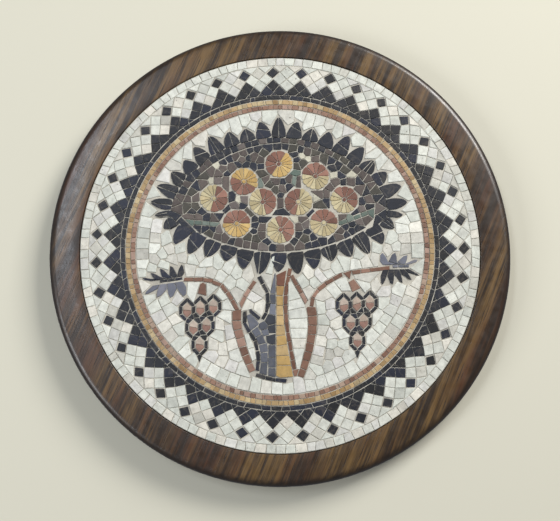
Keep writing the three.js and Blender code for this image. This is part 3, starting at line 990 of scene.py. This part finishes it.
# --------------------------------------------------------------------------------------------------
# Vines: a stem on each side of the trunk with one brown-red stone across its width, and shoots of
# narrow slips of the same stone that part from it.
vine_palette = ["785746", "6c4c3c", "8a6959", "98796a"]
vine_shares = [0.36, 0.26, 0.22, 0.16]
vine_length = 0.0074
for side in ("left", "right"):
    node = f"vine_{side}"
    fill(node + "_stones", [node], vine_palette, vine_shares, vine_length)

# --------------------------------------------------------------------------------------------------
# Leaves at the ends of the vines: pointed black or blue-grey slips side by side on each side of a
# midrib of three short bars.
leaf_slate_palette = ["656874", "585b67", "767781"]
leaf_black_palette = ["131824", "171c2d", "1d2029"]
rib_width = 0.0026
rib_stones = 3
blade_gap = 0.0002
for side in ("left", "right"):
    for half in ("upper", "lower"):
        node = f"leaf_{side}_{half}"
        slate = (side == "left") == (half == "lower")
        palette = leaf_slate_palette if slate else leaf_black_palette
        path = loops(outline(node))[0]
        lengths = np.linalg.norm(np.roll(path, -1, 0) - path, axis=1)
        rib_at = lengths.argmax()
        rib_start, rib_end = path[rib_at], path[(rib_at + 1) % len(path)]
        path = np.roll(path, -rib_at - 1, 0)
        outward = turn(unit(rib_end - rib_start))
        above = ((path - rib_start) * outward).sum(-1)
        low_points = np.flatnonzero((above[1:-1] < above[:-2]) & (above[1:-1] <= above[2:])) + 1
        ends = np.concatenate([[0], low_points, [len(path) - 1]])
        ribbed = rib_width if half == "upper" else blade_gap
        path = path + np.maximum(ribbed - above, 0.0)[:, None] * outward
        blades = []
        for first, last in zip(ends[:-1], ends[1:]):
            shares = np.array([[last], [first]]) / (len(path) - 1)
            feet = rib_end + (rib_start - rib_end) * shares + outward * ribbed
            blade = np.concatenate([path[first : last + 1], feet])
            blades.append(room(blade[None])[0])
        if half == "upper":
            steps = np.linspace(0.0, 1.0, rib_stones + 1)
            along = rib_start + (rib_end - rib_start) * steps[:, None]
            beside = along + outward * rib_width
            bars = np.stack([along[:-1], along[1:], beside[1:], beside[:-1]], 1)
            blades += list(room(bars))
        blades = np.array(blades)
        lay(
            f"leaf_{side}_{half}_slips",
            blades,
            pick(palette, [0.4, 0.3, 0.3], len(blades)),
            stone_joint,
            nodes=[node],
            rough=0.5,
        )

# --------------------------------------------------------------------------------------------------
# Grapes: each is two stones, the upper one pale and the lower one pinkish, in a net of black slips that
# ends in one pointed slip below the lowest grape.
slip_gap = 0.0019
slip_apart = 0.0024
half_joint = 0.0001
tip_drop = 0.0052
net_joint = 0.0006
for side in ("left", "right"):
    middles = []
    for number in range(1, 7):
        node = f"grape_{side}_{number}"
        path = loops(outline(node))[0]
        whole = room(path[None])
        upward = unit(np.array([[draw.normal(0.0, 0.12), 1.0]]))
        level = (upward * path.mean(0)).sum(1)
        top = cut(whole, -upward, -level - half_joint)
        bottom = cut(whole, upward, level - half_joint)
        top_colour = pick(["b3a496", "ab9a8b"], [0.5, 0.5], 1)
        bottom_colour = pick(["957365", "8c6a5e"], [0.5, 0.5], 1)
        lay(
            f"{node}_stones",
            np.concatenate([top, bottom]),
            np.concatenate([top_colour, bottom_colour]),
            rough=0.6,
            nodes=[node],
        )
        for start, end in zip(path, np.roll(path, -1, 0)):
            middle = (start + end) / 2 - turn(unit(end - start)) * slip_gap
            if all(np.linalg.norm(middle - other) > slip_apart for other in middles):
                middles.append(middle)
    middles.append(path[path[:, 1].argmin()] - (0.0, tip_drop))
    name, node = f"grapes_{side}_slips", f"grapes_{side}_rim"
    slips = fitted(np.array(middles), outline(node), net_joint)
    slip_colours = pick(black_palette, black_shares, len(slips))
    lay(name, slips, slip_colours, rough=0.7, nodes=[node])

# --------------------------------------------------------------------------------------------------
# Studio: a pale wall that the panel hangs on and a pale floor below it, which show from their front
# only. A soft key light stands at the upper right, a fill at the lower left, and a narrow cool light at
# the left that the varnish mirrors.


def pale_sheet(name, corners):
    """A flat sheet of four corners that is see-through from behind."""
    mesh = bpy.data.meshes.new(name)
    mesh.from_pydata(corners, [], [(0, 1, 2, 3)])
    sheet = bpy.data.objects.new(name, mesh)
    bpy.context.scene.collection.objects.link(sheet)
    material, tree, shader = surface(name)
    shader.inputs["Base Color"].default_value = paint("c9c6b6")
    shader.inputs["Roughness"].default_value = 0.9
    clear = put(tree, "BsdfTransparent").outputs[0]
    behind = put(tree, "NewGeometry").outputs["Backfacing"]
    mixed = put(tree, "MixShader", {0: behind, 1: shader.outputs[0], 2: clear}).outputs[0]
    tree.links.new(mixed, tree.nodes["Material Output"].inputs["Surface"])
    mesh.materials.append(material)
    for ray in ("visible_diffuse", "visible_glossy", "visible_transmission", "visible_shadow"):
        setattr(sheet, ray, False)


floor_height = -0.5
room_size = 3.0
wall_face = 0.0004
floor_left, floor_right = (-room_size, wall_face, floor_height), (room_size, wall_face, floor_height)
wall_top = [(room_size, wall_face, room_size), (-room_size, wall_face, room_size)]
floor_front = [(-room_size, -room_size, floor_height), (room_size, -room_size, floor_height)]
pale_sheet("wall", [floor_left, floor_right, *wall_top])
pale_sheet("floor", [*floor_front, floor_right, floor_left])


def softbox(name, place, size, power, colour):
    """A rectangular area light that faces the middle of the panel."""
    light = bpy.data.lights.new(name, "AREA")
    light.shape = "RECTANGLE"
    light.size, light.size_y = size
    light.energy = power
    light.color = colour
    lamp = bpy.data.objects.new(name, light)
    lamp.location = place
    lamp.rotation_mode = "QUATERNION"
    lamp.rotation_quaternion = (Vector((0.0, -0.02, 0.0)) - Vector(place)).to_track_quat("-Z", "Y")
    bpy.context.scene.collection.objects.link(lamp)


softbox("key", (1.3, -1.25, 1.35), (0.9, 0.9), 62.0, (1.0, 0.98, 0.95))
softbox("fill", (-1.5, -1.2, -0.6), (0.8, 0.8), 16.0, (0.95, 0.97, 1.0))
softbox("window", (-0.62, -1.5, 0.42), (0.26, 0.6), 7.0, (0.86, 0.92, 1.0))
world = bpy.data.worlds.new("studio")
world.use_nodes = True
world.node_tree.nodes["Background"].inputs["Color"].default_value = (0.9, 0.92, 0.95, 1.0)
world.node_tree.nodes["Background"].inputs["Strength"].default_value = 0.22
bpy.context.scene.world = world
bpy.context.scene.view_settings.view_transform = "Standard"
